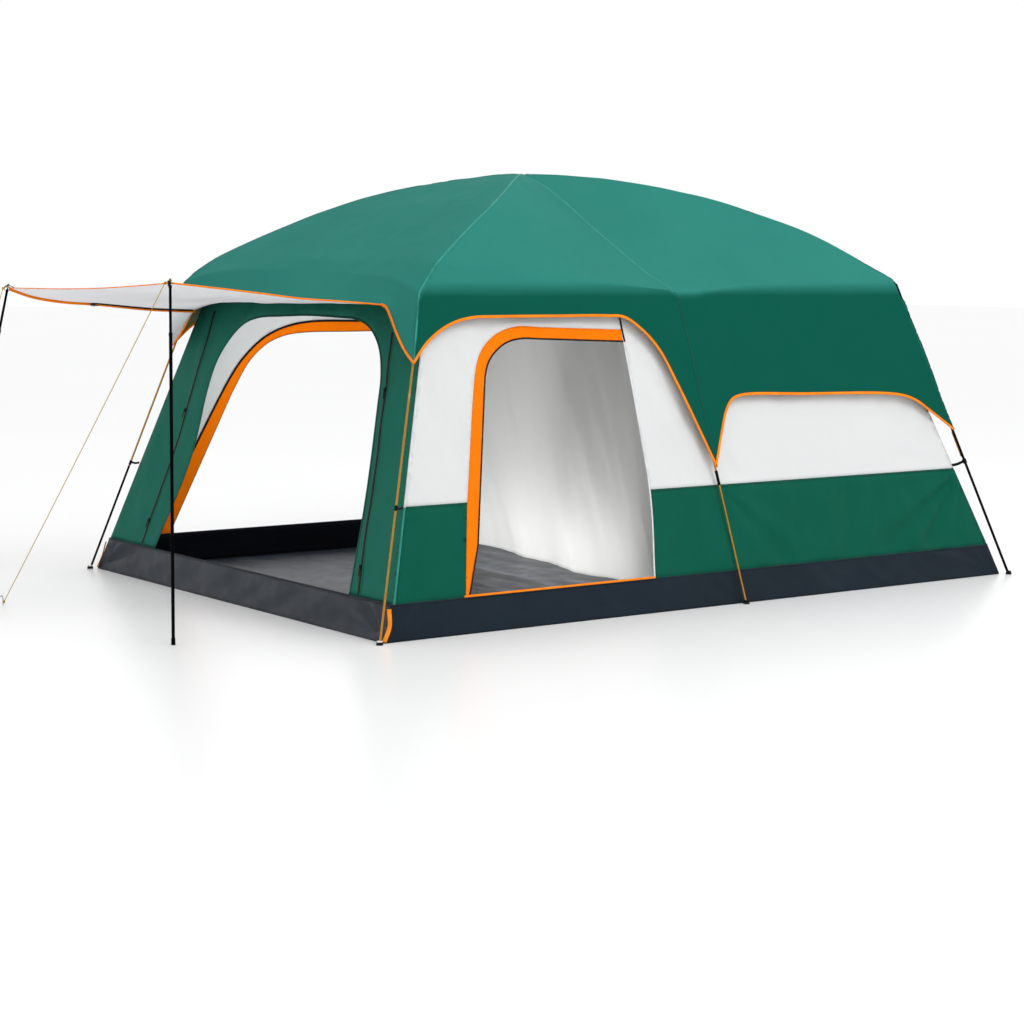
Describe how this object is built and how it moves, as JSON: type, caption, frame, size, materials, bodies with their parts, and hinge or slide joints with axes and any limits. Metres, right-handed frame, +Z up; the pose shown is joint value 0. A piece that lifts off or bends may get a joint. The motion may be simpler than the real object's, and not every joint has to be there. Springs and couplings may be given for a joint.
{
  "type": "cabin tent",
  "caption": "Cabin tent on bent poles with a domed fly sheet, arched side and front doors, a dark tub floor and a front awning held by telescopic poles and guylines.",
  "frame": {"origin": "on the ground under the middle of the tub floor", "axes": "+Z up, the awning and front door face -Y, the long axis of the floor is Y, +X is to the right of someone inside looking out backwards, that is the right-hand long wall seen from the front"},
  "size_m": [3.152, 5.7178, 2.289],
  "materials": {
    "fly_cloth": "coated polyester taffeta, soft sheen",
    "flap_cloth": "coated polyester taffeta, soft sheen",
    "orange_binding": "folded binding tape",
    "orange_band": "smooth nylon tape",
    "orange_webbing": "woven webbing",
    "green_wall": "polyester taffeta",
    "white_wall": "breathable polyester",
    "tub_cloth": "coated oxford cloth",
    "floor_cloth": "coated oxford cloth",
    "mesh_cloth": "fine mesh",
    "divider_cloth": "breathable polyester",
    "awning_cloth": "coated polyester, pale underside",
    "zip_tape": "woven zip tape",
    "zip_metal": "black enamel",
    "grommet_metal": "satin",
    "black_tube": "satin powder coat",
    "gold_tube": "bronze lacquer",
    "black_leg": "satin powder coat",
    "glass_fibre": "pultruded rod",
    "black_plastic": "moulded",
    "foot_rubber": "matt",
    "guyline": "braided cord",
    "peg_steel": "zinc plated"
  },
  "bodies": {
    "tent": {"ceiling": "mesh_cloth", "corner_straps": "orange_webbing", "crown_hub": "black_plastic", "door_band_left": "orange_band", "door_band_right": "orange_band", "eave_elbows": "black_plastic", "flap_front": "flap_cloth", "flap_left": "flap_cloth", "flap_rear": "flap_cloth", "flap_right": "flap_cloth", "floor_sheet": "floor_cloth", "fly_crown_patch": "fly_cloth", "fly_front": "fly_cloth", "fly_left_front": "fly_cloth", "fly_left_rear": "fly_cloth", "fly_piping": "orange_binding", "fly_rear": "fly_cloth", "fly_right_front": "fly_cloth", "fly_right_rear": "fly_cloth", "foot_cups": "foot_rubber", "front_door_zips": "zip_tape", "ground_pegs": "peg_steel", "guyline_far": "guyline", "guyline_near": "guyline", "leg_clips": "black_plastic", "leg_front_left": "gold_tube", "leg_front_right": "gold_tube", "leg_middle_left": "gold_tube", "leg_middle_right": "gold_tube", "leg_rear_left": "black_leg", "leg_rear_right": "black_leg", "roof_rods_front": "glass_fibre", "roof_rods_middle": "glass_fibre", "roof_rods_rear": "glass_fibre", "room_divider": "divider_cloth", "skirt_front": "tub_cloth", "skirt_left": "tub_cloth", "skirt_rear": "tub_cloth", "skirt_right": "tub_cloth", "wall_front": "green_wall", "wall_left_lower": "green_wall", "wall_left_upper": "white_wall", "wall_rear_lower": "green_wall", "wall_rear_upper": "white_wall", "wall_right_lower": "green_wall", "wall_right_upper": "white_wall"},
    "awning": {"awning_sheet": "awning_cloth", "awning_piping": "orange_binding", "awning_zip": "zip_tape", "awning_grommets": "grommet_metal"},
    "pole_near_upper": {"pole_near_upper": "black_tube"},
    "pole_near_lower": {"pole_near_lower": "black_tube"},
    "pole_far_upper": {"pole_far_upper": "black_tube"},
    "pole_far_lower": {"pole_far_lower": "black_tube"},
    "zip_slider_right_upper": {"zip_slider_right_upper": "zip_metal"},
    "zip_slider_right_lower": {"zip_slider_right_lower": "zip_metal"},
    "zip_slider_left_upper": {"zip_slider_left_upper": "zip_metal"},
    "zip_slider_left_lower": {"zip_slider_left_lower": "zip_metal"}
  },
  "joints": [
    {"name": "awning_swing", "type": "hinge", "parent": "tent", "child": "awning", "pos_m": [0, -1.806, 1.58], "axis": [1, 0, 0], "range_deg": [-18, 8]},
    {"name": "pole_near_tilt", "type": "hinge", "parent": "awning", "child": "pole_near_upper", "pos_m": [1.002, -2.99, 1.692], "axis": [1, 0, 0], "range_deg": [-8.5, 18.5]},
    {"name": "pole_near_telescope", "type": "slide", "parent": "pole_near_upper", "child": "pole_near_lower", "axis": [0, 0, 1], "range_m": [-0.375, 0.168]},
    {"name": "pole_far_tilt", "type": "hinge", "parent": "awning", "child": "pole_far_upper", "pos_m": [-0.93, -2.94, 1.64], "axis": [1, 0, 0], "range_deg": [-8.5, 18.5]},
    {"name": "pole_far_telescope", "type": "slide", "parent": "pole_far_upper", "child": "pole_far_lower", "axis": [0.0119, 0.2147, 0.9766], "range_m": [-0.365, 0.165]},
    {"name": "zip_right_upper_travel", "type": "slide", "parent": "tent", "child": "zip_slider_right_upper", "axis": [0.2386, -0.2858, -0.9281], "range_m": [-0.26, 0.02]},
    {"name": "zip_right_lower_travel", "type": "slide", "parent": "tent", "child": "zip_slider_right_lower", "axis": [0.2028, -0.2882, -0.9358], "range_m": [-0.7, 0.05]},
    {"name": "zip_left_upper_travel", "type": "slide", "parent": "tent", "child": "zip_slider_left_upper", "axis": [-0.1351, -0.2917, -0.9469], "range_m": [-0.03, 0.5]},
    {"name": "zip_left_lower_travel", "type": "slide", "parent": "tent", "child": "zip_slider_left_lower", "axis": [-0.1351, -0.2917, -0.9469], "range_m": [-0.5, 0.06]}
  ],
  "couplings": [
    {"joint": "pole_near_tilt", "follows": "awning_swing", "ratio": -1},
    {"joint": "pole_near_telescope", "follows": "awning_swing", "m_per_rad": 1.165},
    {"joint": "pole_far_tilt", "follows": "awning_swing", "ratio": -1},
    {"joint": "pole_far_telescope", "follows": "awning_swing", "m_per_rad": 1.13}
  ]
}
